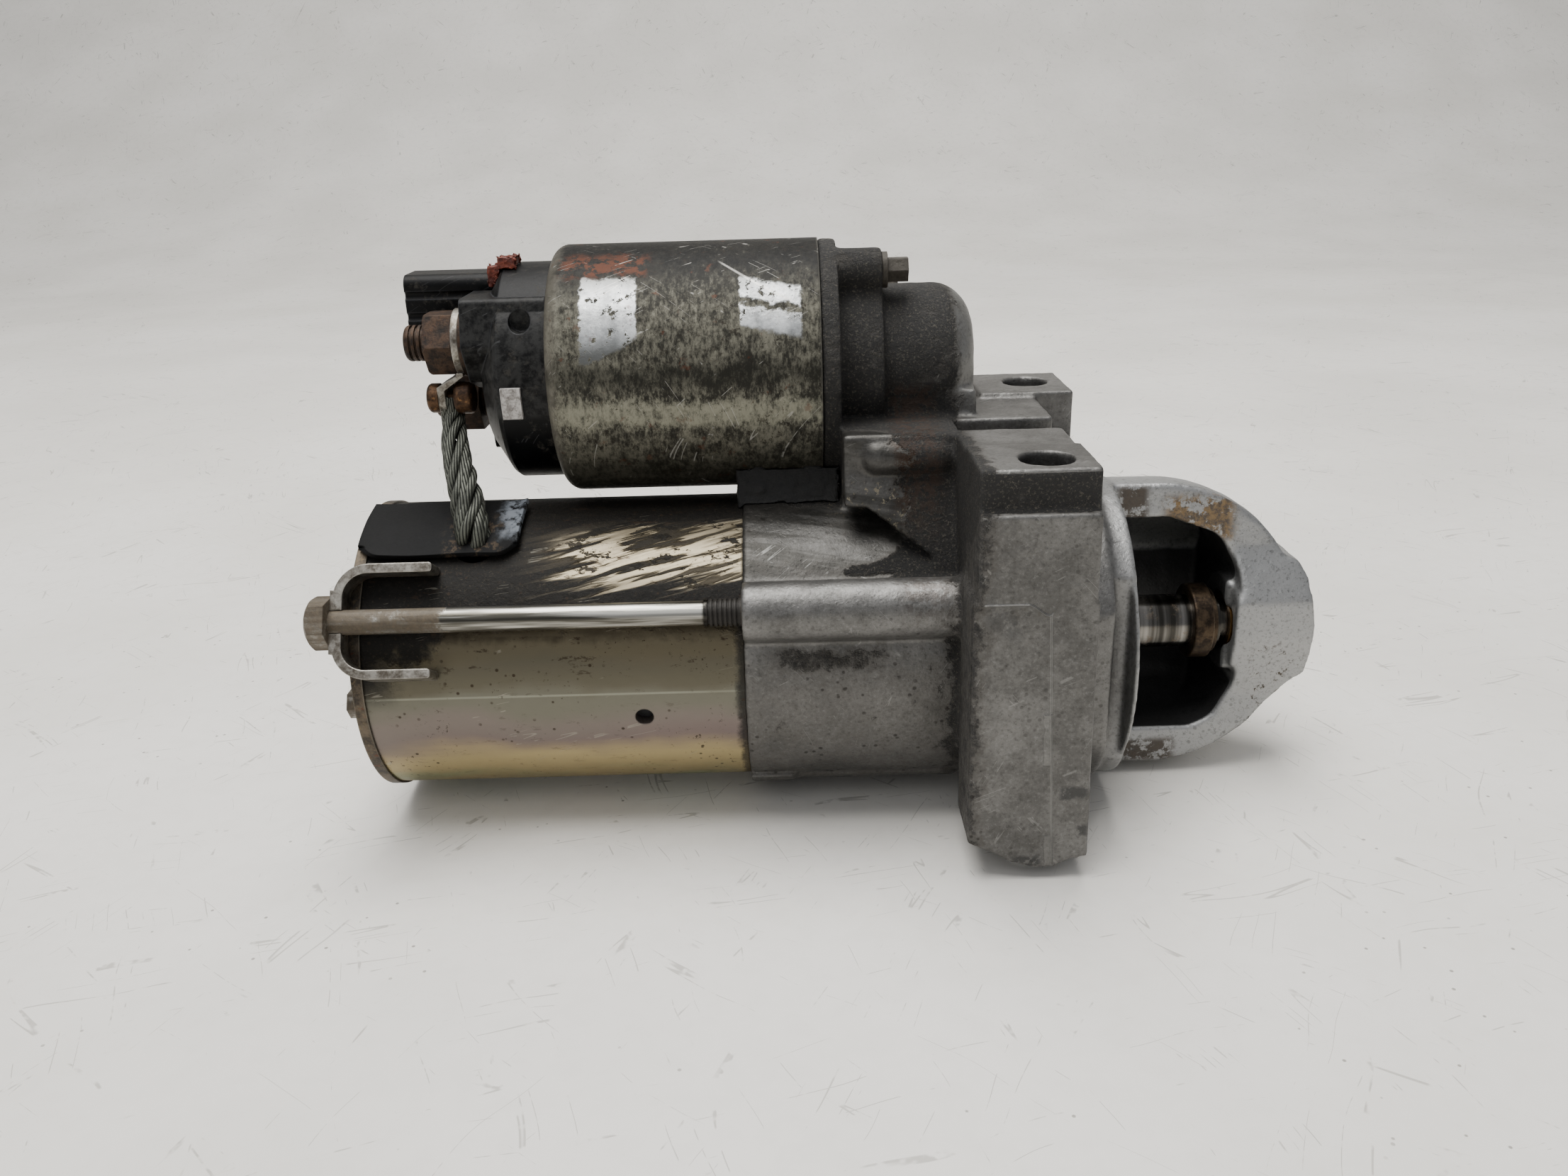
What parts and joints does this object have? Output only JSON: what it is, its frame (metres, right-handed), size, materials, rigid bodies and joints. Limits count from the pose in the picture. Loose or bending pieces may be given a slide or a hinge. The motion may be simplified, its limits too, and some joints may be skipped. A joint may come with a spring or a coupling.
{
  "type": "starter motor",
  "caption": "Gear-reduction starter motor with a solenoid on top, an open cast nose round the drive pinion and two vertical bolt legs.",
  "frame": {"origin": "centre of the front bolt hole at the face of its mounting pad", "axes": "+X along the motor axis towards the nose, +Z out of the mounting pads, +Y from the front leg to the rear leg"},
  "size_m": [0.2216, 0.0958, 0.125],
  "materials": {
    "cast_alloy": "sand-cast, satin, oily and scratched",
    "zinc_case": "yellow zinc plating, iridescent and grimy",
    "end_cap_steel": "pressed steel, dark and dirty",
    "zinc_bolt": "zinc plated, worn bright",
    "zinc_bracket": "zinc plated, worn",
    "rusty_steel": "steel with brown surface rust",
    "can_steel": "dull olive-grey steel",
    "black_plastic": "moulded, dusty",
    "grey_plastic": "moulded, scuffed",
    "copper": "copper, brown patina",
    "lead_braid": "braided strands, dark",
    "black_rubber": "matt rubber",
    "sealant": "cured red-orange sealant",
    "bright_steel": "ground steel",
    "collar_steel": "steel, brown film",
    "bronze": "sintered bronze",
    "magnet": "ferrite, matt",
    "enamel_copper": "enamelled copper wire",
    "core_steel": "stacked laminations",
    "carbon": "copper-graphite brush",
    "nylon": "moulded nylon",
    "gear_steel": "hardened steel, oiled",
    "spring_steel": "wire"
  },
  "bodies": {
    "motor": {"drive_end_housing": "cast_alloy", "field_case": "zinc_case", "rear_end_cap": "end_cap_steel", "end_cap_screws": "zinc_bolt", "through_bolts": "zinc_bolt", "bolt_brackets": "zinc_bracket", "field_magnets": "magnet", "rear_bush": "bronze", "brush_holder": "nylon", "brushes": "carbon", "brush_springs": "spring_steel", "gear_shield": "gear_steel", "ring_gear": "nylon", "centre_plate": "gear_steel", "centre_bush": "bronze", "nose_bush": "bronze", "lever_pin": "gear_steel", "solenoid_can": "can_steel", "solenoid_core": "gear_steel", "coil_bobbin": "nylon", "coil_winding": "enamel_copper", "plunger_spring": "spring_steel", "contact_spring": "spring_steel", "solenoid_cap": "black_plastic", "cap_clips": "grey_plastic", "motor_stud": "rusty_steel", "battery_stud": "rusty_steel", "stud_nuts": "rusty_steel", "stud_washers": "rusty_steel", "connector_shell": "black_plastic", "connector_blade": "bronze", "solenoid_screws": "zinc_bolt", "terminal_strap": "zinc_bracket", "strap_rivet": "copper", "lead_ferrule": "copper", "motor_lead": "lead_braid", "lead_flap": "black_rubber", "seal_block": "black_rubber", "sealant_bead": "sealant"},
    "armature": {"armature_shaft": "gear_steel", "armature_core": "core_steel", "armature_winding": "enamel_copper", "commutator": "copper"},
    "carrier": {"output_shaft": "bright_steel", "stop_collar": "collar_steel", "retaining_ring": "collar_steel"},
    "planet_1": {"planet_gear_1": "gear_steel"},
    "planet_2": {"planet_gear_2": "gear_steel"},
    "planet_3": {"planet_gear_3": "gear_steel"},
    "drive": {"clutch_shell": "gear_steel", "clutch_rollers": "gear_steel", "clutch_cover": "gear_steel"},
    "pinion_body": {"pinion": "gear_steel"},
    "lever": {"shift_lever": "nylon"},
    "plunger_body": {"plunger": "gear_steel"},
    "contact": {"contact_disc": "copper"}
  },
  "joints": [
    {"name": "armature_spin", "type": "hinge", "parent": "motor", "child": "armature", "pos_m": [-0.1, 0.0413, -0.052], "axis": [1, 0, 0], "continuous": true},
    {"name": "output_shaft_spin", "type": "hinge", "parent": "motor", "child": "carrier", "pos_m": [0, 0.0413, -0.052], "axis": [1, 0, 0], "continuous": true},
    {"name": "planet_1_spin", "type": "hinge", "parent": "carrier", "child": "planet_1", "pos_m": [-0.052, 0.0575, -0.052], "axis": [1, 0, 0], "continuous": true},
    {"name": "planet_2_spin", "type": "hinge", "parent": "carrier", "child": "planet_2", "pos_m": [-0.052, 0.0332, -0.03797], "axis": [1, 0, 0], "continuous": true},
    {"name": "planet_3_spin", "type": "hinge", "parent": "carrier", "child": "planet_3", "pos_m": [-0.052, 0.0332, -0.06603], "axis": [1, 0, 0], "continuous": true},
    {"name": "plunger_slide", "type": "slide", "parent": "motor", "child": "plunger_body", "axis": [-1, 0, 0], "range_m": [0, 0.01049], "deforming": ["plunger_spring"]},
    {"name": "shift_lever_pivot", "type": "hinge", "parent": "motor", "child": "lever", "pos_m": [-0.0199, 0.05177, -0.01293], "axis": [0, -0.9659, 0.2589], "range_deg": [0, 26.65]},
    {"name": "drive_slide", "type": "slide", "parent": "carrier", "child": "drive", "axis": [1, 0, 0], "range_m": [0, 0.0185]},
    {"name": "contact_slide", "type": "slide", "parent": "motor", "child": "contact", "axis": [-1, 0, 0], "range_m": [0, 0.0032], "deforming": ["contact_spring"]},
    {"name": "pinion_overrun", "type": "hinge", "parent": "drive", "child": "pinion_body", "pos_m": [0, 0.0413, -0.052], "axis": [1, 0, 0], "continuous": true}
  ],
  "couplings": [
    {"joint": "output_shaft_spin", "follows": "armature_spin", "ratio": 0.2037},
    {"joint": "planet_1_spin", "follows": "armature_spin", "ratio": -0.54745},
    {"joint": "planet_2_spin", "follows": "armature_spin", "ratio": -0.54745},
    {"joint": "planet_3_spin", "follows": "armature_spin", "ratio": -0.54745},
    {"joint": "shift_lever_pivot", "follows": "plunger_slide", "rad_per_m": 44.256},
    {"joint": "drive_slide", "follows": "plunger_slide", "ratio": 1.761},
    {"joint": "contact_slide", "follows": "plunger_slide", "ratio": 0.3}
  ]
}
